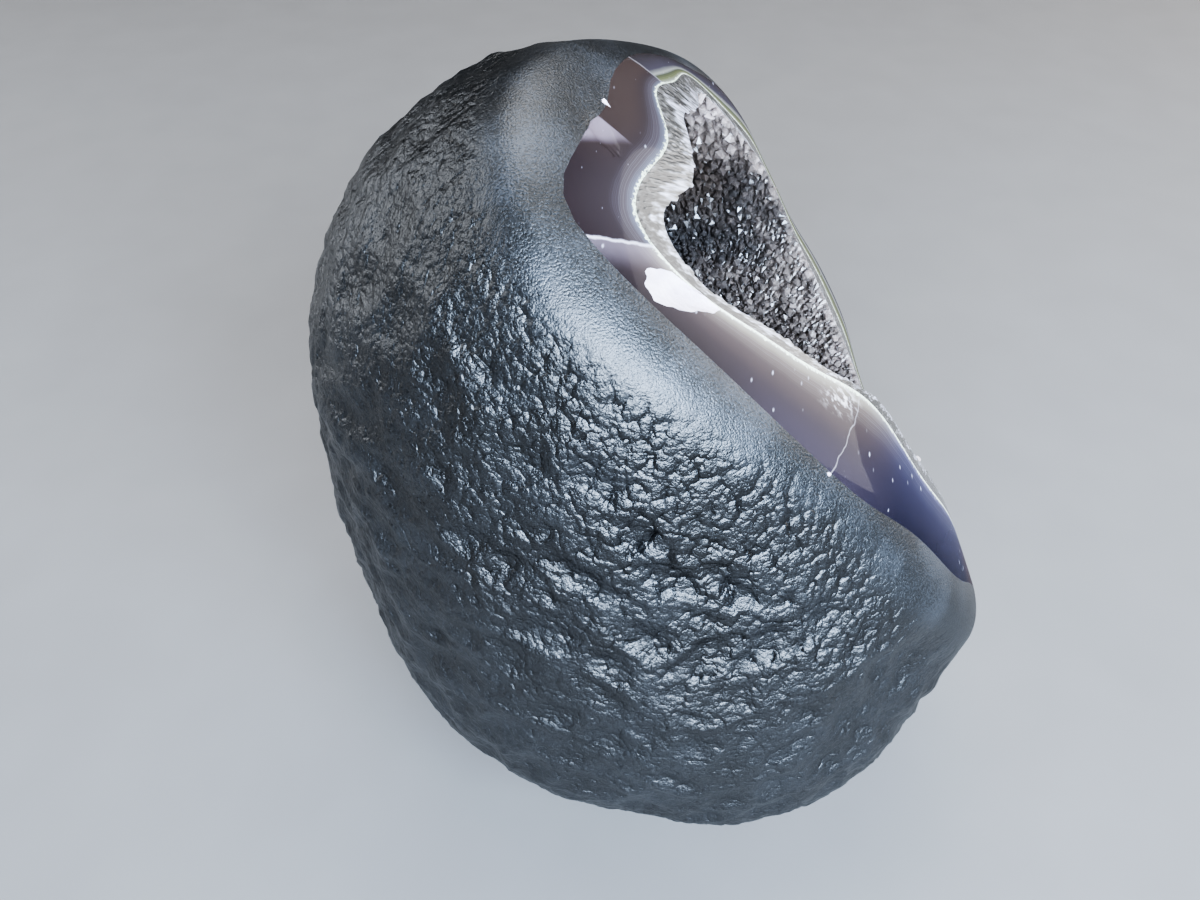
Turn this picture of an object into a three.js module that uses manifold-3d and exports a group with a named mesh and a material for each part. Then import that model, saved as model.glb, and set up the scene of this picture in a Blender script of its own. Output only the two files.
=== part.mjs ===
// A geode half standing on its sawn base: an egg-shaped stone with a dark rock rind, an agate wall
// inside it, and a hollow lined with quartz crystals. One flank was ground to a domed face and
// polished, which cuts through all three layers and opens the hollow.
//
// Millimetres, +Z up. The stone rests on its base at z = 0, and the face looks towards +X.
//
// Every layer is star-shaped: seen from one point, the heart of the hollow, each direction meets
// each surface once. So a layer is a function that gives its distance from the heart, its reach.

import * as THREE from "three";
import { mergeVertices } from "three/addons/utils/BufferGeometryUtils.js";
import Module from "manifold-3d";

const wasm = await Module();
wasm.setup();

// The nodule before it was cut
const HEART_HEIGHT = 80;
const HALF_WIDTH = 79;
const HALF_DEPTH = 69;
const HALF_HEIGHT = 88;

// Where the nodule swells or sinks: towards a direction, by a share of the reach, spread in degrees
const SWELLS = [
  { name: "shoulder", toward: [-0.8, 0, 0.6], share: 0.11, spread: 28 },
  { name: "crown", toward: [-0.45, 0.15, 0.88], share: 0.03, spread: 28 },
  { name: "near crown", toward: [-0.25, -0.42, 0.87], share: 0.17, spread: 26 },
  { name: "near cheek", toward: [0.45, -0.7, 0.5], share: -0.06, spread: 26 },
  { name: "belly", toward: [0.2, -0.8, -0.6], share: 0.15, spread: 28 },
  { name: "heel", toward: [-0.55, -0.6, -0.6], share: 0.12, spread: 28 },
  { name: "back", toward: [-0.95, -0.2, -0.1], share: 0.03, spread: 28 },
  { name: "far side", toward: [-0.3, 0.8, -0.2], share: 0.05, spread: 35 },
  { name: "far crown", toward: [0.35, 0.25, 0.9], share: -0.05, spread: 24 },
  { name: "crown edge", toward: [-0.12, 0.15, 0.98], share: -0.025, spread: 14 },
  { name: "beak", toward: [0.76, -0.63, -0.15], share: -0.03, spread: 14 },
  { name: "scoop under the lip", toward: [0.52, -0.84, -0.06], share: -0.05, spread: 10 },
  { name: "scoop's lower end", toward: [0.38, -0.89, -0.22], share: -0.03, spread: 9 },
];

// The straight flank under the lip of the face
const FLANK_TOWARD = [0.8, -0.42, -0.42];
const FLANK_REACH = 78;
const FLANK_BLEND = 12;

// The polished face is a piece of an ellipsoid: it looks towards TURN and LIFT, and its long way
// runs from the crown to the lip
const FACE_TURN = 12;
const FACE_LIFT = 17.5;
const FACE_LONG_TOWARD = [0.5, -0.6, -0.85];
const FACE_REACH = 50.5;
const FACE_LONG_RADIUS = 360;
const FACE_ACROSS_RADIUS = 140;
const FACE_CAP = 120;
const FACE_TOP_ALONG = 40;
const FACE_TOP_ACROSS = 16;
const FACE_BLEND = 6;

// The base is sawn flat, with an eased edge
const BASE_BLEND = 6;
const BASE_SUNK = 1.5;

// Layers, by thickness towards the heart
const RIND = 4.5;
const RIND_SWELLS = [
  { name: "crown corner", toward: [-0.24, -0.12, 0.96], rise: 2, spread: 10 },
  { name: "crown edge", toward: [-0.12, 0.12, 0.98], rise: -2.4, spread: 13 },
  { name: "near rim", toward: [-0.12, -0.57, 0.81], rise: 2.5, spread: 12 },
  { name: "lip", toward: [0.3, -0.77, 0.56], rise: -2.2, spread: 16 },
];
const AGATE = 9;
const AGATE_SWELLS = [
  { name: "back wall", toward: [-0.9, -0.1, -0.3], rise: 7, spread: 60 },
  { name: "crown", toward: [0.05, 0.3, 0.95], rise: -2, spread: 30 },
  { name: "crown edge", toward: [-0.1, 0.25, 0.96], rise: -3.5, spread: 12 },
  { name: "near rim", toward: [-0.17, -0.42, 0.89], rise: -3, spread: 11 },
  { name: "lip", toward: [0.35, -0.65, 0.68], rise: 2.5, spread: 18 },
];
const QUARTZ = 3.5;
const QUARTZ_SWELLS = [{ name: "near rim", toward: [-0.08, -0.46, 0.88], rise: -1.5, spread: 16 }];
const QUARTZ_WAVE = 0.7;

// Layers stay clear of each other by this much
const SEAM = 0.3;

// Lumps and pits of the rough rind, which fade out where the stone was ground smooth
const LUMP = 1.4;
const PIT = 1.6;
const GROUND_FROM = 5;
const GROUND_TO = 24;

// Crystals of the lining: how far their points stand off the wall, by how much of that they differ,
// and how far each is shifted and leans, as a share of the distance to the next one
const CRYSTAL_HEIGHT = 5;
const CRYSTAL_UNEVEN = 0.5;
const CRYSTAL_SHIFT = 0.25;
const CRYSTAL_LEAN = 0.25;

// Mesh fineness: an icosahedron's edges are split into this many more parts
const RIND_DETAIL = 9;
const AGATE_DETAIL = 6;
const LINING_DETAIL = 5;
const CRYSTAL_DETAIL = 7;

const HEART = new THREE.Vector3(0, 0, HEART_HEIGHT);
const FAR = 1e4;

const unit = ([x, y, z]) => new THREE.Vector3(x, y, z).normalize();

function softMin(a, b, blend) {
  const h = THREE.MathUtils.clamp(0.5 + (0.5 * (b - a)) / blend, 0, 1);
  return b + (a - b) * h - blend * h * (1 - h);
}

// How strongly a swell acts in a direction: 1 at its middle, fading by a bell curve
function bell(direction, { toward, spread }) {
  const angle = THREE.MathUtils.radToDeg(direction.angleTo(unit(toward)));
  return Math.exp(-((angle / spread) ** 2));
}

// The distance to a plane whose nearest point is reach away towards normal
function planeReach(direction, normal, reach) {
  const along = direction.dot(normal);
  return along > 1e-3 ? reach / along : FAR;
}

function noduleReach(direction) {
  const stretched = new THREE.Vector3(
    direction.x / HALF_WIDTH,
    direction.y / HALF_DEPTH,
    direction.z / HALF_HEIGHT,
  );
  let share = 1;
  for (const swell of SWELLS) share += swell.share * bell(direction, swell);
  const flank = planeReach(direction, unit(FLANK_TOWARD), FLANK_REACH);
  return softMin(share / stretched.length(), flank, FLANK_BLEND);
}

const turn = THREE.MathUtils.degToRad(FACE_TURN);
const lift = THREE.MathUtils.degToRad(FACE_LIFT);
const FACE_NORMAL = unit([
  Math.cos(lift) * Math.cos(turn),
  Math.cos(lift) * Math.sin(turn),
  Math.sin(lift),
]);
const FACE_LONG = unit(FACE_LONG_TOWARD).projectOnPlane(FACE_NORMAL).normalize();
const FACE_ACROSS = FACE_NORMAL.clone().cross(FACE_LONG);

// The face's ellipsoid has semi-axes cap, along and across; scaled by them it is a unit sphere
function faceReach(direction) {
  const along = Math.sqrt(FACE_LONG_RADIUS * FACE_CAP);
  const across = Math.sqrt(FACE_ACROSS_RADIUS * FACE_CAP);
  const ray = new THREE.Vector3(
    direction.dot(FACE_NORMAL) / FACE_CAP,
    direction.dot(FACE_LONG) / along,
    direction.dot(FACE_ACROSS) / across,
  );
  const start = new THREE.Vector3(
    (FACE_CAP - FACE_REACH) / FACE_CAP,
    -FACE_TOP_ALONG / along,
    -FACE_TOP_ACROSS / across,
  );
  const b = ray.dot(start);
  const root = Math.sqrt(Math.max(b * b - ray.lengthSq() * (start.lengthSq() - 1), 0));
  return (root - b) / ray.lengthSq();
}

// The rough rind's relief: broad lumps and smaller pits, from crossed waves over the direction
function relief(direction) {
  const { x, y, z } = direction;
  const lumps = Math.sin(9 * x + 4 * z + 1) * Math.sin(8 * y - 5 * x) + Math.sin(7 * z - 6 * y + 2);
  const pits = Math.sin(21 * x + 9 * y) * Math.sin(19 * z - 8 * y + 1) * Math.sin(17 * y + 11 * z);
  return (LUMP * lumps) / 2 - PIT * Math.abs(pits);
}

// 0 where the stone was ground smooth beside the face, rising to 1 on the rough rind
function roughness(direction) {
  const clear = faceReach(direction) - noduleReach(direction);
  return THREE.MathUtils.smoothstep(clear, GROUND_FROM, GROUND_TO);
}

// The whole stone's outside: the nodule with its face, its relief and its sunk base
function stoneReach(direction) {
  const cut = softMin(noduleReach(direction), faceReach(direction), FACE_BLEND);
  const rough = cut + relief(direction) * roughness(direction);
  const base = planeReach(direction, unit([0, 0, -1]), HEART_HEIGHT + BASE_SUNK);
  return softMin(rough, base, BASE_BLEND);
}

function thickness(direction, even, swells) {
  let total = even;
  for (const swell of swells) total += swell.rise * bell(direction, swell);
  return total;
}

const agateOutside = (direction) => noduleReach(direction) - thickness(direction, RIND, RIND_SWELLS);

// The agate keeps above the base, so that the rind closes under it
function agateReach(direction) {
  const floor = planeReach(direction, unit([0, 0, -1]), HEART_HEIGHT - RIND);
  return softMin(agateOutside(direction), floor, BASE_BLEND);
}

const quartzReach = (direction) => agateReach(direction) - thickness(direction, AGATE, AGATE_SWELLS);

function hollowReach(direction) {
  const { x, y, z } = direction;
  const wave = Math.sin(11 * x + 3 * y) * Math.sin(10 * z - 4 * x + 1) + Math.sin(8 * y + 6 * z);
  return quartzReach(direction) - thickness(direction, QUARTZ, QUARTZ_SWELLS) - (QUARTZ_WAVE * wave) / 2;
}

// A closed solid from a geometry, with the vertices that its faces share merged
function solidOf(geometry) {
  const plain = new THREE.BufferGeometry().setAttribute("position", geometry.getAttribute("position"));
  if (geometry.index) plain.setIndex(geometry.index);
  const merged = mergeVertices(plain, 1e-4);
  const mesh = new wasm.Mesh({
    numProp: 3,
    vertProperties: new Float32Array(merged.attributes.position.array),
    triVerts: new Uint32Array(merged.index.array),
  });
  return new wasm.Manifold(mesh);
}

// The solid inside a star-shaped surface: a ball whose points are moved out to its reach
function starSolid(reach, detail) {
  const ball = new THREE.IcosahedronGeometry(1, detail);
  const points = ball.getAttribute("position");
  const direction = new THREE.Vector3();
  for (let i = 0; i < points.count; i += 1) {
    direction.fromBufferAttribute(points, i).normalize();
    const point = HEART.clone().addScaledVector(direction, reach(direction));
    points.setXYZ(i, point.x, point.y, point.z);
  }
  return solidOf(ball);
}

// Repeatable scatter, so that the stone comes out the same each time
function makeScatter(seed) {
  let state = seed;
  return () => {
    state = (state * 16807) % 2147483647;
    return state / 2147483647;
  };
}

// The hollow's space, lined with six-sided crystals. A ball's points are the crystals' tips, and the
// middles of its faces are the low corners where three crystals meet
function crystalHollow() {
  const scatter = makeScatter(20417);
  const shaken = (direction, share) => {
    const spacing = 1.1 / (CRYSTAL_DETAIL + 1);
    const shake = new THREE.Vector3(scatter() - 0.5, scatter() - 0.5, scatter() - 0.5);
    return direction.clone().addScaledVector(shake, 2 * share * spacing).normalize();
  };
  const at = (direction, height) =>
    HEART.clone().addScaledVector(direction, hollowReach(direction) - height);

  const ball = new THREE.IcosahedronGeometry(1, CRYSTAL_DETAIL);
  ball.deleteAttribute("normal");
  ball.deleteAttribute("uv");
  const grid = mergeVertices(ball, 1e-4);
  const roots = [];
  for (let i = 0; i < grid.attributes.position.count; i += 1) {
    const direction = new THREE.Vector3().fromBufferAttribute(grid.attributes.position, i);
    roots.push(shaken(direction.normalize(), CRYSTAL_SHIFT));
  }
  const tips = roots.map((root) => {
    const height = CRYSTAL_HEIGHT * (1 - CRYSTAL_UNEVEN * scatter());
    const tip = shaken(root, CRYSTAL_LEAN);
    const hasWall = Math.min(faceReach(tip), faceReach(root)) > hollowReach(root);
    return at(tip, hasWall ? height : 0);
  });

  const faces = [];
  const cornerLeftOf = new Map();
  for (let i = 0; i < grid.index.count; i += 3) {
    const [a, b, c] = [0, 1, 2].map((k) => grid.index.getX(i + k));
    const middle = roots[a].clone().add(roots[b]).add(roots[c]).normalize();
    const corner = at(middle, 0);
    for (const [from, to] of [[a, b], [b, c], [c, a]]) {
      cornerLeftOf.set(`${from} ${to}`, corner);
      faces.push([from, to, corner]);
    }
  }
  const points = faces.flatMap(([from, to, corner]) => {
    return [tips[from], cornerLeftOf.get(`${to} ${from}`), corner];
  });
  return solidOf(new THREE.BufferGeometry().setFromPoints(points));
}

// The space over the ground, for cutting the base flat
function overGround() {
  const size = 400;
  return solidOf(new THREE.BoxGeometry(size, size, size).translate(0, 0, size / 2));
}

function meshOf(name, solid, material) {
  const { numProp, vertProperties, triVerts } = solid.getMesh();
  const points = new Float32Array((vertProperties.length / numProp) * 3);
  for (let i = 0; i < points.length / 3; i += 1) {
    for (let k = 0; k < 3; k += 1) points[3 * i + k] = vertProperties[numProp * i + k];
  }
  const geometry = new THREE.BufferGeometry();
  geometry.setAttribute("position", new THREE.BufferAttribute(points, 3));
  geometry.setIndex(new THREE.BufferAttribute(new Uint32Array(triVerts), 1));
  geometry.computeVertexNormals();
  const mesh = new THREE.Mesh(geometry, material);
  mesh.name = name;
  return mesh;
}

const stone = starSolid(stoneReach, RIND_DETAIL).intersect(overGround());

function makeRind() {
  const solid = stone.subtract(starSolid(agateReach, AGATE_DETAIL));
  const material = new THREE.MeshStandardMaterial({ color: 0x43474c, roughness: 0.62, metalness: 0 });
  return meshOf("rind", solid, material);
}

function makeAgateWall() {
  const body = starSolid((direction) => agateReach(direction) - SEAM, AGATE_DETAIL);
  const solid = stone.intersect(body).subtract(starSolid(quartzReach, LINING_DETAIL));
  const material = new THREE.MeshStandardMaterial({ color: 0x8a7d84, roughness: 0.12, metalness: 0 });
  return meshOf("agate_wall", solid, material);
}

function makeCrystalCrust() {
  const body = starSolid((direction) => quartzReach(direction) - SEAM, LINING_DETAIL);
  const solid = stone.intersect(body).subtract(crystalHollow());
  const material = new THREE.MeshStandardMaterial({ color: 0xb9b6bd, roughness: 0.15, metalness: 0 });
  return meshOf("crystal_crust", solid, material);
}

const geode = new THREE.Group();
geode.name = "geode_half";
geode.add(makeRind(), makeAgateWall(), makeCrystalCrust());

// The origin is under the middle of the stone's box, on the ground
const middle = new THREE.Box3().setFromObject(geode).getCenter(new THREE.Vector3());
geode.position.set(-middle.x, -middle.y, 0);

export default geode;
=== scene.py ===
"""A geode half on its sawn base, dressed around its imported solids.

Lengths are in millimetres until a mesh, light or camera is made, which is in metres. Shapes are
star-shaped: seen from the heart of the hollow, each direction meets each surface once, so a layer
is a function from directions to distances, its reach. The form's values are those of the part's
source, apart from finer swells of the layers, a higher far rim and a finer, flatter relief.
"""
import math

import bpy
import numpy as np
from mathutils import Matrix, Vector


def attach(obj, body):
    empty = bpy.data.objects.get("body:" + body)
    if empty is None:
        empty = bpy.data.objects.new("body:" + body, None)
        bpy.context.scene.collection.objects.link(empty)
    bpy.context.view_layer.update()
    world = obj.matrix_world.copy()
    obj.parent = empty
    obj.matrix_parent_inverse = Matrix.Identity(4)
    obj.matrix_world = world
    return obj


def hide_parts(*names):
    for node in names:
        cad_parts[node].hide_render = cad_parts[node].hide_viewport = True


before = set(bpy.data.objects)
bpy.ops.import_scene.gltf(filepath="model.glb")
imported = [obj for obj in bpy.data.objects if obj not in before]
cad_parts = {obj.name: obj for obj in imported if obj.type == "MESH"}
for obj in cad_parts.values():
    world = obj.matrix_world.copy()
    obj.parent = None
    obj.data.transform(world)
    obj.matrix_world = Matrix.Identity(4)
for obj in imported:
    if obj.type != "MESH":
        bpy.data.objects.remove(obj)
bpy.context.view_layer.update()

MM = 0.001
FAR = 1e4

# The heart of the hollow, from which all directions are taken, and the nodule before it was cut
HEART = np.array([8.73, 0.244, 80])
HALF_SIZES = (79, 69, 88)
SWELLS = [
    ((-0.8, 0, 0.6), 0.11, 28),
    ((-0.45, 0.15, 0.88), 0.03, 28),
    ((-0.25, -0.42, 0.87), 0.17, 26),
    ((0.45, -0.7, 0.5), -0.06, 26),
    ((0.2, -0.8, -0.6), 0.15, 28),
    ((-0.55, -0.6, -0.6), 0.12, 28),
    ((-0.95, -0.2, -0.1), 0.03, 28),
    ((-0.3, 0.8, -0.2), 0.05, 35),
    ((0.35, 0.25, 0.9), -0.05, 24),
    ((-0.12, 0.15, 0.98), -0.025, 14),
    ((0.76, -0.63, -0.15), -0.03, 14),
    ((0.52, -0.84, -0.06), -0.05, 10),
    ((0.38, -0.89, -0.22), -0.03, 9),
]
FLANK_TOWARD = (0.8, -0.42, -0.42)
FLANK_REACH = 78
FLANK_BLEND = 12

# The polished face
FACE_TURN = 12
FACE_LIFT = 17.5
FACE_LONG_TOWARD = (0.5, -0.6, -0.85)
FACE_REACH = 50.5
FACE_LONG_RADIUS = 360
FACE_ACROSS_RADIUS = 140
FACE_CAP = 120
FACE_TOP_ALONG = 40
FACE_TOP_ACROSS = 16
FACE_BLEND = 6

# The far edge of the hollow, where the face swells, is crested and is rounded over into it. The
# spans are measured from the edge outwards, and FAR_SIDE is by how far a direction points to +Y.
RIM_RISE = 2.4
RIM_RISE_SPAN = (1, 8)
RIM_FALL_SPAN = (12, 26)
RIM_DIP = 1.4
RIM_DIP_SPAN = (0, 6)
CREST = ((0.68, 0.72, 0.05), 6, 26)
CREST_RISE_SPAN = (-1, 9)
CREST_FALL_SPAN = (13, 30)
FAR_SIDE = (0.05, 0.4)

# The sawn base
BASE_BLEND = 6
BASE_SUNK = 1.5

# Layers, by thickness towards the heart
RIND = 4.5
RIND_SWELLS = [
    ((-0.223, -0.165, 0.961), 1.6, 4),
    ((-0.268, -0.27, 0.925), 1.3, 5),
    ((-0.285, -0.375, 0.882), -1.3, 6),
    ((0.8, -0.59, -0.02), 1.2, 10),
    ((-0.24, -0.12, 0.96), 2, 10),
    ((-0.12, 0.12, 0.98), -2.4, 13),
    ((-0.12, -0.57, 0.81), 2.5, 12),
    ((0.3, -0.77, 0.56), -2.2, 16),
]
AGATE = 9
AGATE_SWELLS = [
    ((0.7, 0.7, 0), 2.5, 26),
    ((0.46, -0.6, 0.65), 3, 14),
    ((0.78, -0.58, 0.15), 3.5, 18),
    ((-0.138, -0.009, 0.99), -2.6, 5),
    ((-0.135, -0.19, 0.97), 1, 6),
    ((-0.04, 0.25, 0.965), -1.8, 9),
    ((-0.07, -0.5, 0.86), -0.8, 6),
    ((-0.9, -0.1, -0.3), 7, 60),
    ((0.05, 0.3, 0.95), -2, 30),
    ((-0.1, 0.25, 0.96), -3.5, 12),
    ((-0.17, -0.42, 0.89), -3, 11),
    ((0.35, -0.65, 0.68), 2.5, 18),
]
QUARTZ = 3.5
QUARTZ_SWELLS = [
    ((0.7, 0.7, 0), 1.5, 26),
    ((-0.08, -0.46, 0.88), -1.5, 16),
    ((-0.096, -0.25, 0.96), 1.6, 5),
    ((0, 0.3, 0.95), -1.4, 10),
    ((-0.06, -0.49, 0.87), -1, 6),
    ((0.3, -0.57, 0.76), -2.8, 13),
]
QUARTZ_WAVE = 0.7
QUARTZ_LEAST = 0.7

# The rough rind's relief, which fades out beside the face
LUMP = 1.2
PIT = 1.2
GROUND_FROM = 5
GROUND_TO = 24

# The photograph's camera, from the heart, and its view
CAMERA_FROM_HEART = (-22, -152, 149)
CAMERA_PITCH = 45
CAMERA_FOCAL = 901
PHOTO_WIDTH = 1200
SENSOR_WIDTH = 36

# Mesh fineness: cuts of an icosahedron's edges
STONE_CUTS = 97
LAYER_CUTS = 29
LINING_CUTS = 41

# Fine relief of the rough rind: a pattern's name and kind, its size and its height
FINE_RELIEF = [
    ("folds", "CLOUDS", 5, 1.2),
    ("wrinkles", "CLOUDS", 2.6, 0.7),
]

# Chips: towards a place, their long way, half their length, half their width, their depth, and how
# much narrower they get along the way
CHIPS = {
    "shell_chip": ((-0.235, -0.232, 0.944), (1, -0.9, 0), 4.6, 2.2, 0.35, 0.5),
    "flake": ((-0.122, -0.502, 0.856), (1, 0.1, -0.35), 7.8, 2.8, 0.6, 0.45),
    "nick": ((-0.231, -0.152, 0.963), (1, -0.5, 0), 0.9, 0.45, 0.3, 0.8),
    "crack_chip": ((0.198, -0.749, 0.632), (1, 0.4, -0.6), 0.5, 0.35, 0.25, 0),
}
CHIP_ROUNDNESS = 8

# Planes through the heart that bound marks across the agate, by their normals
HEALED_BREAK = (0.189, -0.899, -0.395)
LIP_CRACK = (0.681, -0.356, -0.639)
CROWN_FACET = (0.074, 0.997, -0.032)
SHELL_EDGE = (-0.456, -0.842, -0.286)
SHELL_FADE = (-0.533, 0.842, 0.085)

# Where the rind wrinkles most, and over which gaps between face and nodule it gets rough
WRINKLED = ((0.05, -0.8, 0.6), 30)
WRINKLED_WIDER = 6
ROUGH_SPAN = (4, 13)

# The crystals that line the hollow: first those of the crust itself, then the small ones on it,
# whose shoulder, tip and its shift are shares of their radius
LINING_HEIGHT = 1.7
LINING_UNEVEN = 0.6
LINING_SHIFT = 0.3
LINING_SEED = 7
TINT_SEED = 3
DRUSE_CRYSTALS = 12000
DRUSE_RADIUS = 1.08
DRUSE_LEAST = 0.6
DRUSE_LARGER = 0.75
DRUSE_SHIFT = 0.012
DRUSE_LEAN = 0.55
DRUSE_SUNK = 0.9
DRUSE_ROOT = 1.2
DRUSE_SHOULDER = 0.5
DRUSE_TIP = 1.5
DRUSE_TIP_SHIFT = 0.3
DRUSE_FOOT_ROOM = 0.3
DRUSE_FACE_ROOM = 0.1
DRUSE_SEED = 11
# Depth below the face over which the small crystals are painted darker, as shade
DEEP = 60

# Places by direction from the heart
CROWN_TOP = (-0.19, 0, 0.98)
FACET_TOP = (-0.14, 0, 0.99)
BREAK_LOW_END = (0.78, 0.38, -0.5)
CRACK_TOWARD = (0.3, -0.7, 0.6)
LIP_END = (0.84, -0.52, -0.14)
QUARTZ_TOP = (-0.02, 0.1, 0.99)
# Where the hollow's painted shade is darkest
SHADED_HEART_TOWARD = (0.08, 0.8, 0.6)
BROWN_TOWARD = (-0.1, 0.45, 0.88)

# The rock's colours by its grain, rough and ground, and the heights between which the ground
# colours set in; below them the rock is painted darker, as shade towards the bottom
ROCK_SHADES = [
    (0.36, (0.001, 0.0011, 0.0013)),
    (0.5, (0.0025, 0.0028, 0.0033)),
    (0.64, (0.008, 0.0088, 0.01)),
]
GROUND_SHADES = [
    (0.4, (0.002, 0.0023, 0.0027)),
    (0.5, (0.009, 0.01, 0.0115)),
    (0.6, (0.03, 0.033, 0.038)),
]
# Pale specks on the rough rock: painted glints of its tiny crystal grains
ROCK_GLINT = (0.16, 0.17, 0.19)
ROCK_LOW_TO_HIGH = (60 * MM, 125 * MM)

# The agate's colours in each zone, from the rind to the quartz
CROWN_BANDS = [
    (0.0, (0.022, 0.0155, 0.016)),
    (0.6, (0.033, 0.025, 0.0255)),
    (0.84, (0.055, 0.044, 0.047)),
    (0.93, (0.08, 0.076, 0.09)),
    (0.955, (0.13, 0.135, 0.16)),
    (0.97, (0.075, 0.075, 0.08)),
    (1.0, (0.24, 0.25, 0.19)),
]
FLANK_BANDS = [
    (0.0, (0.022, 0.0165, 0.017)),
    (0.3, (0.033, 0.024, 0.024)),
    (0.6, (0.056, 0.041, 0.038)),
    (0.8, (0.105, 0.081, 0.069)),
    (0.93, (0.22, 0.19, 0.15)),
    (1.0, (0.6, 0.58, 0.5)),
]
LIP_BANDS = [
    (0.0, (0.01, 0.009, 0.0165)),
    (0.5, (0.022, 0.0195, 0.036)),
    (0.84, (0.042, 0.038, 0.062)),
    (0.95, (0.1, 0.09, 0.14)),
    (1.0, (0.3, 0.28, 0.31)),
]
FAR_RIM_BANDS = [
    (0.0, (0.03, 0.024, 0.023)),
    (0.5, (0.045, 0.038, 0.045)),
    (0.66, (0.17, 0.16, 0.14)),
    (0.74, (0.045, 0.045, 0.025)),
    (0.86, (0.09, 0.09, 0.045)),
    (1.0, (0.2, 0.19, 0.16)),
]

# Colours of places and marks on the agate
CROWN_BROWN = (0.048, 0.033, 0.027)
FACET_PALE = (0.4, 0.37, 0.38)
FLANK_MILKY = (0.16, 0.13, 0.15)
FLANK_DUSKY = (0.034, 0.027, 0.037)
LIP_RED = (0.04, 0.018, 0.016)
SHELL_MILKY = (0.19, 0.15, 0.17)
THIN_LINE_WHITE = (0.7, 0.72, 0.78)
ZIGZAG_GREENISH = (0.74, 0.78, 0.58)
BREAK_WHITE = (0.7, 0.65, 0.7)
SMEAR_WHITE = (0.66, 0.6, 0.58)
CRACK_GREY = (0.4, 0.36, 0.36)
NICK_GREY = (0.55, 0.52, 0.58)
CHIP_SHADES = [(0.3, (0.48, 0.41, 0.46)), (0.7, (0.68, 0.6, 0.61))]

# The quartz's colours by paleness, and those of the small crystals by shade, which is partly
# painted shade of the hollow's depth
QUARTZ_IOR = 1.54
QUARTZ_SHADES = [
    (0.1, (0.06, 0.053, 0.046)),
    (0.38, (0.13, 0.117, 0.104)),
    (0.6, (0.26, 0.245, 0.255)),
    (0.9, (0.48, 0.455, 0.5)),
]
DRUSE_SHADES = [
    (0.0, (0.54, 0.45, 0.42)),
    (0.25, (0.27, 0.222, 0.195)),
    (0.5, (0.14, 0.115, 0.103)),
    (0.75, (0.08, 0.068, 0.063)),
    (1.0, (0.062, 0.056, 0.054)),
]
DRUSE_BROWN = (0.09, 0.065, 0.05)

# Studio: lights by name, direction from the stone, distance, width and height in metres, watts and
# colour
LIGHTS = [
    ("window", (0.5, -0.63, 0.6), 0.75, 0.32, 0.32, 9.5, (0.57, 0.75, 1)),
    ("front", (0.04, -0.9, 0.44), 1, 1.3, 0.68, 55, (0.66, 0.8, 1)),
    ("sky", (0, 0.4, 0.9), 1.2, 1.1, 1.1, 13, (0.96, 0.96, 0.96)),
    ("left", (-0.9, 0.3, 0.35), 1.0, 0.8, 0.8, 5, (0.9, 0.94, 1)),
    ("opening", (0.9, 0.4, 0.3), 1.0, 0.9, 0.9, 8, (1, 0.96, 0.93)),
]
WORLD_COLOUR = (0.85, 0.9, 1)
WORLD_STRENGTH = 0.06
FLOOR_SHADES = [(0, (0.165, 0.154, 0.144)), (1, (0.185, 0.174, 0.163))]


# Directions and reaches

def unit(vector):
    vector = np.asarray(vector, float)
    return vector / np.linalg.norm(vector, axis=-1, keepdims=True)


def smooth_step(value, start, end):
    share = np.clip((value - start) / (end - start), 0, 1)
    return share * share * (3 - 2 * share)


def soft_min(a, b, blend):
    h = np.clip(0.5 + 0.5 * (b - a) / blend, 0, 1)
    return b + (a - b) * h - blend * h * (1 - h)


def bell(directions, toward, spread):
    """1 where a direction points toward, fading over the spread, in degrees."""
    angle = np.degrees(np.arccos(np.clip(directions @ unit(toward), -1, 1)))
    return np.exp(-((angle / spread) ** 2))


def swelled(directions, even, swells):
    return even + sum(rise * bell(directions, toward, spread) for toward, rise, spread in swells)


def plane_reach(directions, normal, reach):
    along = directions @ unit(normal)
    return np.where(along > 1e-3, reach / np.maximum(along, 1e-3), FAR)


def nodule_reach(directions):
    ball = 1 / np.linalg.norm(directions / np.array(HALF_SIZES), axis=-1)
    flank = plane_reach(directions, FLANK_TOWARD, FLANK_REACH)
    return soft_min(ball * swelled(directions, 1, SWELLS), flank, FLANK_BLEND)


turn, lift = math.radians(FACE_TURN), math.radians(FACE_LIFT)
FACE_NORMAL = np.array([
    math.cos(lift) * math.cos(turn),
    math.cos(lift) * math.sin(turn),
    math.sin(lift),
])
FACE_LONG = unit(FACE_LONG_TOWARD - FACE_NORMAL * (FACE_NORMAL @ FACE_LONG_TOWARD))
FACE_ACROSS = np.cross(FACE_NORMAL, FACE_LONG)


def face_reach(directions):
    """The polished face, part of an ellipsoid; scaled by its semi-axes it is a unit sphere."""
    along = math.sqrt(FACE_LONG_RADIUS * FACE_CAP)
    across = math.sqrt(FACE_ACROSS_RADIUS * FACE_CAP)
    axes = np.stack([FACE_NORMAL / FACE_CAP, FACE_LONG / along, FACE_ACROSS / across])
    ray = directions @ axes.T
    start = np.array([
        (FACE_CAP - FACE_REACH) / FACE_CAP,
        -FACE_TOP_ALONG / along,
        -FACE_TOP_ACROSS / across,
    ])
    b = ray @ start
    square = (ray ** 2).sum(-1)
    return (np.sqrt(np.maximum(b * b - square * (start @ start - 1), 0)) - b) / square


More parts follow.
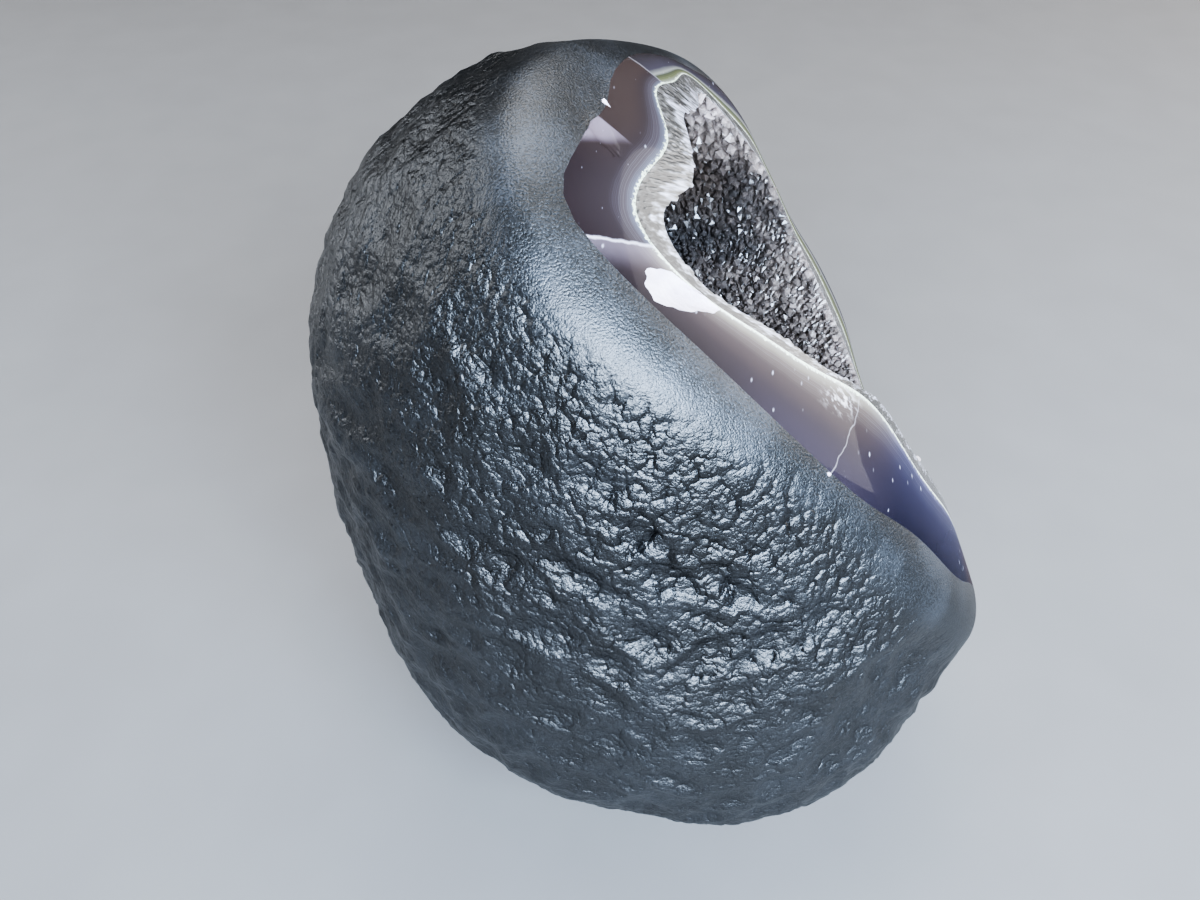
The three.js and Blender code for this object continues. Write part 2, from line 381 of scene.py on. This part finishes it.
def relief(directions):
    bend = 0.05 * np.sin(9 * directions[:, [1, 2, 0]] + 2)
    bend += 0.035 * np.sin(17 * directions[:, [2, 0, 1]])
    x, y, z = (directions + bend).T
    lumps = np.sin(9 * x + 4 * z + 1) * np.sin(8 * y - 5 * x) + np.sin(7 * z - 6 * y + 2)
    pits = np.sin(21 * x + 9 * y) * np.sin(19 * z - 8 * y + 1) * np.sin(17 * y + 11 * z)
    return LUMP * lumps / 2 - PIT * np.abs(pits)


def roughness(directions):
    """0 where the stone was ground smooth beside the face, rising to 1 on the rough rind."""
    return smooth_step(face_reach(directions) - nodule_reach(directions), GROUND_FROM, GROUND_TO)


def rounded_face_reach(directions):
    """The face, which swells and is rounded over into the hollow along its far edge."""
    face = face_reach(directions)
    beside = face - hollow_reach(directions)

    def ridge(rise_span, fall_span):
        return smooth_step(beside, *rise_span) * (1 - smooth_step(beside, *fall_span))

    rise = RIM_RISE * ridge(RIM_RISE_SPAN, RIM_FALL_SPAN)
    dip = RIM_DIP * (1 - smooth_step(beside, *RIM_DIP_SPAN))
    crest = swelled(directions, 0, [CREST]) * ridge(CREST_RISE_SPAN, CREST_FALL_SPAN)
    return face + (rise - dip + crest) * smooth_step(directions[:, 1], *FAR_SIDE)


def stone_reach(directions):
    cut = soft_min(nodule_reach(directions), rounded_face_reach(directions), FACE_BLEND)
    rough = cut + relief(directions) * roughness(directions)
    base = plane_reach(directions, (0, 0, -1), HEART[2] + BASE_SUNK)
    return soft_min(rough, base, BASE_BLEND)


def agate_reach(directions):
    outside = nodule_reach(directions) - swelled(directions, RIND, RIND_SWELLS)
    floor = plane_reach(directions, (0, 0, -1), HEART[2] - RIND)
    return soft_min(outside, floor, BASE_BLEND)


def quartz_reach(directions):
    return agate_reach(directions) - swelled(directions, AGATE, AGATE_SWELLS)


def hollow_reach(directions):
    x, y, z = directions.T
    wave = np.sin(11 * x + 3 * y) * np.sin(10 * z - 4 * x + 1) + np.sin(8 * y + 6 * z)
    thick = swelled(directions, QUARTZ, QUARTZ_SWELLS) + QUARTZ_WAVE * wave / 2
    return quartz_reach(directions) - np.maximum(thick, QUARTZ_LEAST)


# Objects and meshes

def only(piece):
    """Deselects everything but one object."""
    bpy.ops.object.select_all(action="DESELECT")
    piece.select_set(True)
    bpy.context.view_layer.objects.active = piece


def points_of(mesh):
    points = np.empty(len(mesh.vertices) * 3)
    mesh.vertices.foreach_get("co", points)
    return points.reshape(-1, 3)


def set_points(mesh, points):
    mesh.vertices.foreach_set("co", points.ravel())
    mesh.update()


def copy_of(piece, name):
    twin = piece.copy()
    twin.data = piece.data.copy()
    twin.name = twin.data.name = name
    bpy.context.collection.objects.link(twin)
    return twin


def ball(name, cuts):
    """A ball of even triangles round the origin: an icosahedron with its edges cut."""
    bpy.ops.object.select_all(action="DESELECT")
    bpy.ops.mesh.primitive_ico_sphere_add(subdivisions=1, radius=1)
    piece = bpy.context.object
    piece.name = piece.data.name = name
    bpy.ops.object.mode_set(mode="EDIT")
    bpy.ops.mesh.select_all(action="SELECT")
    bpy.ops.mesh.subdivide(number_cuts=cuts)
    bpy.ops.object.mode_set(mode="OBJECT")
    return piece


def star(name, reach, cuts):
    """The solid inside a star-shaped surface round the heart."""
    piece = ball(name, cuts)
    directions = unit(points_of(piece.data))
    points = HEART + directions * reach(directions)[:, None]
    set_points(piece.data, points * MM)
    return piece


def combine(piece, tool, operation):
    modifier = piece.modifiers.new("combine", "BOOLEAN")
    modifier.operation = operation
    modifier.solver = "MANIFOLD"
    modifier.material_mode = "TRANSFER"
    modifier.object = tool
    only(piece)
    bpy.ops.object.modifier_apply(modifier=modifier.name)


def remove(*pieces):
    for piece in pieces:
        bpy.data.meshes.remove(piece.data)


# The stone and its layers

def add_fine_relief(piece):
    """Wrinkles and pits that the rough rind has and the ground and polished stone has not."""
    directions = unit(points_of(piece.data) / MM - HEART)
    weights = roughness(directions)
    group = piece.vertex_groups.new(name="rough")
    levels = np.round(weights * 20) / 20
    for level in np.unique(levels[levels > 0]):
        group.add(np.flatnonzero(levels == level).tolist(), float(level), "REPLACE")
    for name, kind, size, height in FINE_RELIEF:
        texture = bpy.data.textures.new(name, kind)
        texture.noise_scale = size * MM
        modifier = piece.modifiers.new(name, "DISPLACE")
        modifier.texture = texture
        modifier.vertex_group = "rough"
        modifier.strength = height * MM
        modifier.mid_level = 0.5
        only(piece)
        bpy.ops.object.modifier_apply(modifier=name)
    piece.vertex_groups.clear()


def chip_tool(name, toward, long_toward, half_long, half_wide, depth, taper):
    """A rounded, uneven lump that takes a shell-shaped chip out of the surface."""
    direction = unit(toward)
    forwards = unit(long_toward - direction * (direction @ long_toward))
    sideways = np.cross(direction, forwards)
    around = unit(np.stack([direction, direction + forwards / 50, direction + sideways / 50]))
    spots = around * stone_reach(around)[:, None]
    normal = unit(np.cross(spots[1] - spots[0], spots[2] - spots[0]))
    long_way = unit(long_toward - normal * (normal @ long_toward))
    across = np.cross(normal, long_way)
    widening = 1 / math.sqrt(1 - (1 - 1 / CHIP_ROUNDNESS) ** 2)
    sizes = (half_long * widening, half_wide * widening, depth * CHIP_ROUNDNESS)
    centre = HEART + spots[0] + normal * depth * (CHIP_ROUNDNESS - 1)
    piece = ball(name, 15)
    local = unit(points_of(piece.data))
    angle = np.arctan2(local[:, 1], local[:, 0])
    uneven = 0.08 * np.sin(3 * angle + half_long) + 0.06 * np.sin(8 * angle)
    uneven += 0.03 * np.sin(19 * angle)
    local[:, :2] *= 1 + uneven[:, None]
    local[:, 1] *= 1 - taper * np.clip(local[:, 0] * widening, -1, 1)
    local *= sizes
    set_points(piece.data, (centre + local @ np.stack([long_way, across, normal])) * MM)
    return piece


def crystal_star(name, cuts, height, uneven, shift, seed):
    """The hollow's space, lined with six-sided crystals: a ball's points are their tips, and the
    middles of its faces are the low corners where three crystals meet."""
    grid = ball("grid", cuts)
    roots = unit(points_of(grid.data))
    corners = np.array([list(face.vertices) for face in grid.data.polygons])
    remove(grid)
    random = np.random.default_rng(seed)
    spacing = 1.1 / (cuts + 1)

    def shaken(directions, share):
        return unit(directions + share * spacing * random.uniform(-1, 1, directions.shape))

    roots = shaken(roots, shift)
    heights = height * (1 - uneven * random.random(len(roots)))
    tips = shaken(roots, shift)
    has_wall = np.minimum(rounded_face_reach(tips), rounded_face_reach(roots)) > hollow_reach(roots)
    tips = tips * (hollow_reach(tips) - heights * has_wall)[:, None]
    middles = unit(roots[corners].sum(1))
    lows = middles * hollow_reach(middles)[:, None]

    left_of = {}
    for index, (a, b, c) in enumerate(corners):
        left_of[a, b] = left_of[b, c] = left_of[c, a] = index
    faces = [
        (start, len(tips) + left_of[end, start], len(tips) + left)
        for (start, end), left in left_of.items()
    ]
    return mesh_object(name, HEART + np.concatenate([tips, lows]), faces)


def mesh_object(name, points, faces):
    mesh = bpy.data.meshes.new(name)
    mesh.from_pydata((points * MM).tolist(), [], faces)
    mesh.update()
    piece = bpy.data.objects.new(name, mesh)
    bpy.context.collection.objects.link(piece)
    return piece


def paint(piece, finish):
    piece.data.materials.clear()
    piece.data.materials.append(finish)


def smooth_outside(piece, outside_finish):
    """Smooth shading, with a sharp edge wherever the outside meets a cut."""
    outside = [slot.material == outside_finish for slot in piece.material_slots]
    only(piece)
    bpy.ops.object.shade_smooth()
    mesh = piece.data
    kinds = {}
    for face in mesh.polygons:
        for edge in face.edge_keys:
            kinds.setdefault(edge, set()).add(outside[face.material_index])
    for edge in mesh.edges:
        edge.use_edge_sharp = len(kinds[edge.key]) > 1


def note(piece, name, values):
    """Keeps a number for each point of a piece, which its finish reads."""
    attribute = piece.data.attributes.new(name, "FLOAT", "POINT")
    attribute.data.foreach_set("value", np.asarray(values, np.float32))


def seen_from_heart(piece):
    points = points_of(piece.data) / MM - HEART
    reach = np.linalg.norm(points, axis=1)
    return points / reach[:, None], reach


# Shader nodes

class Socket:
    """A socket of a finish, on which Python's operators add Math nodes."""

    def __init__(self, finish, socket):
        self.finish = finish
        self.socket = socket

    def math(self, operation, *values):
        return self.finish.node("Math", {"operation": operation}, dict(enumerate(values)))

    def __add__(self, other):
        return self.math("ADD", self, other)

    __radd__ = __add__

    def __sub__(self, other):
        return self.math("SUBTRACT", self, other)

    def __rsub__(self, other):
        return self.math("SUBTRACT", other, self)

    def __mul__(self, other):
        return self.math("MULTIPLY", self, other)

    __rmul__ = __mul__

    def __pow__(self, other):
        return self.math("POWER", self, other)

    def __abs__(self):
        return self.math("ABSOLUTE", self)

    def step(self, start, end):
        """0 before start, 1 past end, and smooth between them."""
        settings = {"interpolation_type": "SMOOTHSTEP"}
        values = {"Value": self, "From Min": start, "From Max": end}
        return self.finish.node("MapRange", settings, values)

    def near(self, place, width):
        """1 at a value, fading to 0 at width from it."""
        return 1 - abs(self - place).step(0, width)


class Finish:
    """A material, and the ways to make its nodes."""

    def __init__(self, name):
        self.material = bpy.data.materials.new(name)
        self.material.use_nodes = True
        self.nodes = self.material.node_tree.nodes
        self.links = self.material.node_tree.links
        self.nodes.clear()

    def node(self, kind, settings, values, output=0):
        made = self.nodes.new("ShaderNode" + kind)
        for key, setting in settings.items():
            if key == "stops":
                self.set_stops(made.color_ramp, setting)
            else:
                setattr(made, key, setting)
        for key, value in values.items():
            if isinstance(value, Socket):
                self.links.new(value.socket, made.inputs[key])
            else:
                made.inputs[key].default_value = value
        return Socket(self, made.outputs[output]) if made.outputs else None

    @staticmethod
    def set_stops(ramp, stops):
        while len(ramp.elements) < len(stops):
            ramp.elements.new(1)
        for element, (place, colour) in zip(ramp.elements, stops):
            element.position = place
            element.color = (*colour, 1)

    def vector(self, operation, *values, output=0, **more):
        values = {**dict(enumerate(values)), **more}
        return self.node("VectorMath", {"operation": operation}, values, output)

    def place(self):
        """Where a point of the surface is, in metres."""
        return self.node("TexCoord", {}, {}, "Object")

    def direction(self):
        """The direction from the heart to a point of the surface."""
        return self.vector("NORMALIZE", self.vector("SUBTRACT", self.place(), tuple(HEART * MM)))

    def toward(self, direction):
        """How far that direction turns to another: the cosine of the angle between them."""
        return self.vector("DOT_PRODUCT", self.direction(), tuple(unit(direction)), output="Value")

    def noise(self, vector, size, detail=2, output=0):
        values = {"Vector": vector, "Scale": 1 / size, "Detail": detail}
        return self.node("TexNoise", {}, values, output)

    def lines(self, value, detail):
        """Noise of one value alone, which makes lines along which that value stays the same."""
        return self.noise(self.node("CombineXYZ", {}, {0: value}), 1, detail)

    def cells(self, vector, size):
        """How far a point is from the middle of its cell."""
        return self.node("TexVoronoi", {}, {"Vector": vector, "Scale": 1 / size}, "Distance")

    def noted(self, attribute):
        return self.node("Attribute", {"attribute_name": attribute}, {}, "Fac")

    def mix(self, factor, a, b):
        a, b = (value if isinstance(value, Socket) else (*value, 1) for value in (a, b))
        return self.node("Mix", {"data_type": "RGBA"}, {0: factor, 6: a, 7: b}, 2)

    def paint_over(self, colour, marks):
        """A colour with others over it, each where its own mask says."""
        for mask, mark in marks:
            colour = self.mix(mask, colour, mark)
        return colour

    def ramp(self, factor, stops):
        return self.node("ValToRGB", {"stops": stops}, {0: factor})

    def bump(self, height, distance):
        return self.node("Bump", {}, {"Height": height, "Distance": distance})

    def surface(self, values):
        shader = self.node("BsdfPrincipled", {}, values)
        self.node("OutputMaterial", {}, {"Surface": shader})
        return self.material


# Finishes

def basalt_finish():
    """Dark blue-grey rock with a fine sandy grain, wrinkled, and smoother where it was ground; its
    pale specks are painted glints, and it is painted darker low down as shade.
    """
    f = Finish("basalt")
    place = f.place()
    rough = f.noted("rough")
    # Low on the stone the rock is painted darker as shade, and is duller
    low = 1 - f.node("SeparateXYZ", {}, {0: place}, "Z").step(*ROCK_LOW_TO_HIGH)
    sand = f.noise(place, 0.33 * MM)
    grain = sand * 0.5 + f.noise(place, 11 * MM, 3) * 0.5
    # Where the paler ground colours show: the ground zone, but not low down, where the rock is
    # painted darker as shade
    ground = (1 - rough) * (1 - low)
    rock = f.mix(ground, f.ramp(grain, ROCK_SHADES), f.ramp(grain, GROUND_SHADES))
    # Pale specks on the rough rock, painted glints of tiny crystal grains
    glint_specks = f.cells(place, 1.5 * MM).near(0, 0.1) * rough
    wander = f.vector("SCALE", f.noise(place, 3 * MM, output=1), Scale=2.6 * MM)
    gravel = f.cells(f.vector("ADD", place, f.vector("SCALE", wander, Scale=0.3)), 1.1 * MM)
    lumps = f.cells(f.vector("MULTIPLY", f.vector("ADD", place, wander), (1, 1, 0.75)), 2 * MM)
    dents = gravel ** 2 * 0.22 + lumps ** 3 * (f.noted("wrinkled") * 0.6 + 0.35)
    return f.surface({
        "Base Color": f.mix(glint_specks * 0.5, rock, ROCK_GLINT),
        "Roughness": 0.37 - rough * 0.06 + (sand - 0.5) * 0.3 + low * 0.08,
        "Specular IOR Level": 0.8,
        "Normal": f.bump(sand * 0.16 - rough * dents, 1 * MM),
    })


def crown_zone(f, banded, wavy):
    """Dark mauve by the rind, browner at the very top, and lavender towards the quartz."""
    top = f.toward(CROWN_TOP).step(0.94, 1) * (1 - wavy.step(0.3, 0.8))
    return f.mix(top * 0.7, f.ramp(banded, CROWN_BANDS), CROWN_BROWN)


def flank_zone(f, banded, wavy, past_break, along):
    """Mauve-grey to cream, milky under the healed break and duskier towards the lip."""
    milky = f.mix(past_break.near(0, 0.06) * 0.5, f.ramp(banded, FLANK_BANDS), FLANK_MILKY)
    dusky = along.step(-0.4, -0.1) * (1 - wavy.step(0.1, 0.65)) * 0.75
    return f.mix(dusky, milky, FLANK_DUSKY)


def find_smear(f, along, wavy):
    """Where the whitish scuff beside the crack is."""
    scuffs = f.noise(f.vector("MULTIPLY", f.place(), (1, 1, 0.35)), 1.1 * MM).step(0.46, 0.66)
    return scuffs * along.near(-0.06, 0.09) * wavy.near(0.8, 0.25)


def find_nicks(f, along, below):
    """Where the agate is nicked and, on the crown, finely scratched."""
    place = f.place()
    nicks = f.cells(f.vector("MULTIPLY", place, (0.8, 0.3, 1)), 1.7 * MM).near(0, 0.16)
    worn = f.noise(place, 6 * MM, 1).step(0.45, 0.55) + below * along.near(0.22, 0.25)
    scratches = f.cells(f.vector("MULTIPLY", place, (1, 0.25, 0.6)), 1 * MM).near(0, 0.09)
    return nicks * worn + scratches * (1 - below) * 0.5


def agate_finish():
    """Polished agate: bands that follow the wall, in zones parted by healed breaks."""
    f = Finish("agate")
    across = f.noted("across")
    waver = f.noise(f.place(), 7 * MM) - 0.5
    fine_waver = f.noise(f.place(), 1.4 * MM) - 0.5
    wavy = across + waver * 0.07
    banded = wavy + (f.lines(wavy * 11, 3) - 0.5) * 0.06 * wavy.step(0.3, 0.7)

    past_break = f.toward(HEALED_BREAK) + fine_waver * 0.006
    low_end = f.toward(BREAK_LOW_END).step(0.3, 0.7)
    below = past_break.step(0, 0.004) * (1 - low_end) + past_break.step(-0.1, 0.4) * low_end
    break_line = past_break.near(0.002, 0.005) * (1 - low_end)
    past_facet = f.toward(CROWN_FACET) + fine_waver * 0.006
    facet_edge = past_facet.near(0.002, 0.005) * f.toward(FACET_TOP).step(0.98, 0.99)
    shell = f.toward(SHELL_EDGE).step(0, 0.003) * f.toward(SHELL_FADE).step(-0.008, 0.014)
    shell = shell * (1 - below) * across.near(0.1, 0.7)
    along = f.toward(LIP_CRACK)
    crack = (along + fine_waver * 0.004 + waver * 0.03).near(0, 0.003)
    crack = crack * below * f.toward(CRACK_TOWARD).step(0.9, 0.93)
    lip_end = f.toward(LIP_END).step(0.97, 0.997) * (1 - wavy.step(0.2, 0.8))
    thin_lines = f.lines(wavy * 46, 1).step(0.5, 0.62) * wavy.step(0.55, 0.85)
    zigzag = (across + (f.noise(f.place(), 0.6 * MM) - 0.5) * 0.16).near(0.985, 0.035)
    smear = find_smear(f, along, wavy) * below
    nicks = find_nicks(f, along, below)

    colour = f.paint_over(crown_zone(f, banded, wavy), [
        (past_facet.step(0, 0.008), f.ramp(banded, FAR_RIM_BANDS)),
        (facet_edge * 0.3, FACET_PALE),
        (below, flank_zone(f, banded, wavy, past_break, along)),
        (below * along.step(0, 0.3), f.ramp(banded, LIP_BANDS)),
        (lip_end * 0.5, LIP_RED),
        (shell * 0.7, SHELL_MILKY),
        (thin_lines * 0.04, THIN_LINE_WHITE),
        (zigzag * 0.75, ZIGZAG_GREENISH),
        (break_line * 0.5, BREAK_WHITE),
        (smear * 0.8, SMEAR_WHITE),
        (crack * 0.4, CRACK_GREY),
        (nicks * 0.6, NICK_GREY),
    ])
    return f.surface({
        "Base Color": colour,
        "Roughness": 0.06 + nicks * 0.4 + crack * 0.3,
        "IOR": QUARTZ_IOR,
        "Specular IOR Level": 0,
        "Coat Weight": 0.22,
        "Coat Roughness": 0.04,
        "Subsurface Weight": 0.12,
        "Subsurface Radius": (2.5 * MM, 2 * MM, 1.8 * MM),
        "Subsurface Scale": 1,
        "Normal": f.bump(1 - nicks - crack * 0.6, 0.06 * MM),
    })


def fresh_chip_finish():
    """Whitish, slightly rosy agate where a flake came off and the polish is gone."""
    f = Finish("fresh_chip")
    ripple = f.noise(f.place(), 0.8 * MM)
    return f.surface({
        "Base Color": f.ramp(f.noise(f.place(), 3 * MM, 3), CHIP_SHADES),
        "Roughness": 0.38 + ripple * 0.15,
        "IOR": QUARTZ_IOR,
        "Normal": f.bump(ripple, 0.15 * MM),
    })


def quartz_finish():
    """The polished cut through the crystals: columns towards the hollow, whiter at their tips."""
    f = Finish("quartz")
    inwards = f.noted("inwards")
    facing = {0: f.toward(FACE_LONG), 1: f.toward(FACE_ACROSS)}
    around = f.vector("NORMALIZE", f.node("CombineXYZ", {}, facing))
    around = f.vector("ADD", around, f.node("CombineXYZ", {}, {2: inwards * 0.035}))
    columns = f.noise(around, 0.022) - 0.5
    fibres = f.noise(around, 0.008, 1) - 0.5
    cloud = f.noise(f.place(), 5 * MM) - 0.5
    crown = f.toward(QUARTZ_TOP).step(0.94, 0.99)
    tips = (inwards + columns * 1.2).step(0.55, 0.85)
    paleness = 0.14 + columns * 0.9 + fibres * 1.3 + cloud * 0.3 + tips * 0.36 + crown * 0.12
    return f.surface({
        "Base Color": f.ramp(paleness, QUARTZ_SHADES),
        "Roughness": 0.1,
        "IOR": QUARTZ_IOR,
        "Subsurface Weight": 0.15,
        "Subsurface Radius": (2 * MM, 2 * MM, 2 * MM),
        "Subsurface Scale": 1,
        "Normal": f.bump(fibres, 0.1 * MM),
    })


def druse_finish():
    """Small quartz crystals: grey, painted darker in the depth and around the hollow's shaded heart
    as shade, whiter and lilac towards the rim.
    """
    f = Finish("druse")
    tint = f.noted("tint")
    deep = f.noted("deep")
    patches = f.noise(f.place(), 12 * MM) - 0.5
    sugar = f.noise(f.place(), 0.5 * MM, 1) - 0.5
    shaded_heart = f.toward(SHADED_HEART_TOWARD).step(0.9, 0.99)
    brown = f.toward(BROWN_TOWARD).step(0.8, 0.98) * deep.step(0.1, 0.3)
    # Painted shade: darker with depth and towards the shaded heart; the patches, tint and sugar are
    # the crystals' own tones
    shade = 0.24 + deep * 0.5 + shaded_heart * 0.45 + patches * 0.9 + (tint - 0.5) * 0.35 + sugar * 0.3
    return f.surface({
        "Base Color": f.mix(brown * 0.6, f.ramp(shade, DRUSE_SHADES), DRUSE_BROWN),
        "Roughness": 0.16 - tint.step(0.9, 0.95) * 0.12,
        "IOR": QUARTZ_IOR,
        "Transmission Weight": 0.2,
        "Subsurface Weight": 0.4,
        "Subsurface Radius": (1.5 * MM, 1.5 * MM, 1.6 * MM),
        "Subsurface Scale": 1,
    })


def floor_finish():
    f = Finish("pale_floor")
    mottle = f.noise(f.place(), 30 * MM)
    return f.surface({"Base Color": f.ramp(mottle, FLOOR_SHADES), "Roughness": 0.8})


# Pieces

def make_druse():
    """Small crystals all over the hollow's wall, each with a point towards the space."""
    random = np.random.default_rng(DRUSE_SEED)
    index = np.arange(DRUSE_CRYSTALS) + 0.5
    rise = 1 - 2 * index / DRUSE_CRYSTALS
    angle = index * math.pi * (3 - math.sqrt(5))
    ring = np.sqrt(1 - rise ** 2)
    spread = np.stack([ring * np.cos(angle), ring * np.sin(angle), rise], 1)
    spread = unit(spread + DRUSE_SHIFT * random.normal(size=spread.shape))
    size = DRUSE_LEAST + DRUSE_LARGER * random.random(len(spread)) ** 2
    lean = DRUSE_LEAN * random.normal(size=spread.shape)
    foot = hollow_reach(spread) - DRUSE_SUNK * random.random(len(spread))
    kept = rounded_face_reach(spread) > foot + DRUSE_FOOT_ROOM
    spread, size, lean, foot = spread[kept], size[kept], lean[kept], foot[kept]

    inward = unit(-spread + lean)
    side = unit(np.cross(inward, random.normal(size=inward.shape)))
    other = np.cross(inward, side)
    roots = spread * foot[:, None]
    radius = DRUSE_RADIUS * size[:, None]
    shoulder = roots + inward * DRUSE_SHOULDER * radius
    points = [roots - inward * DRUSE_ROOT]
    for around in np.arange(6) * math.pi / 3:
        points.append(shoulder + radius * (side * math.cos(around) + other * math.sin(around)))
    tip_shift = DRUSE_TIP_SHIFT * random.normal(size=(len(side), 1))
    points.append(roots + radius * (inward * DRUSE_TIP + side * tip_shift))
    points = np.stack(points, 1)
    farthest = np.linalg.norm(points, axis=2).max(1)
    clear = farthest < rounded_face_reach(spread) - DRUSE_FACE_ROOM
    points = points[clear]
    count = len(points)
    faces = []
    for k in range(6):
        following = (k + 1) % 6
        faces += [(0, 1 + following, 1 + k), (7, 1 + k, 1 + following)]
    all_faces = (np.array(faces)[None] + 8 * np.arange(count)[:, None, None]).reshape(-1, 3)
    piece = mesh_object("druse", HEART + points.reshape(-1, 3), all_faces.tolist())
    note(piece, "tint", np.repeat(random.random(count), 8))
    # Depth below the face, by which the druse finish paints shade
    directions = unit(points[:, 0])
    depth = face_reach(directions) - np.linalg.norm(points[:, 0], axis=1)
    note(piece, "deep", np.repeat(np.clip(depth / DEEP, 0, 1), 8))
    return piece


def shape_stone():
    """The whole stone with its rough relief, its chips and its flat base."""
    stone = star("stone", stone_reach, STONE_CUTS)
    add_fine_relief(stone)
    paint(stone, outside)
    for name, chip in CHIPS.items():
        tool = chip_tool(name, *chip)
        paint(tool, outside if name == "shell_chip" else chipped)
        combine(stone, tool, "DIFFERENCE")
        remove(tool)
    bpy.ops.mesh.primitive_cube_add(size=1, location=(0, 0, 0.5))
    above_ground = bpy.context.object
    paint(above_ground, outside)
    combine(stone, above_ground, "INTERSECT")
    remove(above_ground)
    return stone


def split_stone(stone):
    """The stone as its three layers, one inside the other."""
    agate_body = star("agate_body", agate_reach, LAYER_CUTS)
    quartz_body = star("quartz_body", quartz_reach, LAYER_CUTS)
    lining = crystal_star(
        "lining", LINING_CUTS, LINING_HEIGHT, LINING_UNEVEN, LINING_SHIFT, LINING_SEED
    )
    for body in (agate_body, quartz_body, lining):
        paint(body, inside)
    rind = copy_of(stone, "rind_skin")
    combine(rind, agate_body, "DIFFERENCE")
    agate = copy_of(stone, "agate_bands")
    combine(agate, agate_body, "INTERSECT")
    combine(agate, quartz_body, "DIFFERENCE")
    quartz = copy_of(stone, "quartz_layer")
    combine(quartz, quartz_body, "INTERSECT")
    combine(quartz, lining, "DIFFERENCE")
    remove(agate_body, quartz_body, lining)
    return rind, agate, quartz


def note_layers(rind, agate, quartz):
    """Notes on the layers what their finishes read."""
    directions, _ = seen_from_heart(rind)
    wrinkled = bell(directions, *WRINKLED)
    gap = face_reach(directions) - nodule_reach(directions) + WRINKLED_WIDER * wrinkled
    note(rind, "rough", smooth_step(gap, *ROUGH_SPAN))
    note(rind, "wrinkled", wrinkled)
    directions, reach = seen_from_heart(agate)
    width = swelled(directions, AGATE, AGATE_SWELLS)
    note(agate, "across", (agate_reach(directions) - reach) / width)
    directions, reach = seen_from_heart(quartz)
    width = quartz_reach(directions) - hollow_reach(directions)
    note(quartz, "inwards", (quartz_reach(directions) - reach) / width)
    note(quartz, "tint", np.random.default_rng(TINT_SEED).random(len(reach)))
    # Depth below the face, for the painted shade of the druse finish on the hollow side
    note(quartz, "deep", np.clip((face_reach(directions) - reach) / DEEP, 0, 1))


def dress(piece, finishes, node):
    """Gives a piece its finishes, in place of the stand-ins, and its place in the part."""
    for slot_of_piece in piece.material_slots:
        slot_of_piece.material = finishes[slot_of_piece.material]
    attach(piece, "root")
    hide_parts(node)


outside = Finish("outside").material
inside = Finish("inside").material
chipped = Finish("chipped").material

stone = shape_stone()
rind, agate, quartz = split_stone(stone)
remove(stone)
for piece in (rind, agate):
    smooth_outside(piece, outside)
note_layers(rind, agate, quartz)
druse = make_druse()
paint(druse, inside)

basalt_look, agate_look, chip_look = basalt_finish(), agate_finish(), fresh_chip_finish()
quartz_look, druse_look = quartz_finish(), druse_finish()
looks_of_rind = {outside: basalt_look, inside: basalt_look, chipped: chip_look}
looks_of_agate = {outside: agate_look, inside: agate_look, chipped: chip_look}
looks_of_quartz = {outside: quartz_look, inside: druse_look, chipped: chip_look}
dress(rind, looks_of_rind, "rind")
dress(agate, looks_of_agate, "agate_wall")
dress(quartz, looks_of_quartz, "crystal_crust")
dress(druse, {inside: druse_look}, "crystal_crust")
for stand_in in (outside, inside, chipped):
    bpy.data.materials.remove(stand_in)


# Floor, light and camera

bpy.ops.object.select_all(action="DESELECT")
bpy.ops.mesh.primitive_plane_add(size=6)
floor = bpy.context.object
floor.name = "floor"
paint(floor, floor_finish())


def add_light(name, toward, distance, width, height, power, colour):
    light = bpy.data.lights.new(name, "AREA")
    light.shape = "ELLIPSE"
    light.size = width
    light.size_y = height
    light.energy = power
    light.color = colour
    lamp = bpy.data.objects.new(name, light)
    bpy.context.collection.objects.link(lamp)
    lamp.location = Vector(HEART * MM) + Vector(unit(toward)) * distance
    lamp.rotation_euler = Vector(unit(toward)).to_track_quat("Z", "Y").to_euler()


for lamp in LIGHTS:
    add_light(*lamp)

world = bpy.data.worlds.new("studio")
world.use_nodes = True
world.node_tree.nodes["Background"].inputs["Color"].default_value = (*WORLD_COLOUR, 1)
world.node_tree.nodes["Background"].inputs["Strength"].default_value = WORLD_STRENGTH
bpy.context.scene.world = world

camera = bpy.data.objects.new("camera", bpy.data.cameras.new("camera"))
bpy.context.collection.objects.link(camera)
camera.location = Vector((HEART + CAMERA_FROM_HEART) * MM)
camera.rotation_euler = (math.radians(90 - CAMERA_PITCH), 0, 0)
camera.data.sensor_width = SENSOR_WIDTH
camera.data.lens = SENSOR_WIDTH * CAMERA_FOCAL / PHOTO_WIDTH
camera.data.clip_start = 0.01
bpy.context.scene.camera = camera
bpy.context.scene.view_settings.look = "AgX - High Contrast"
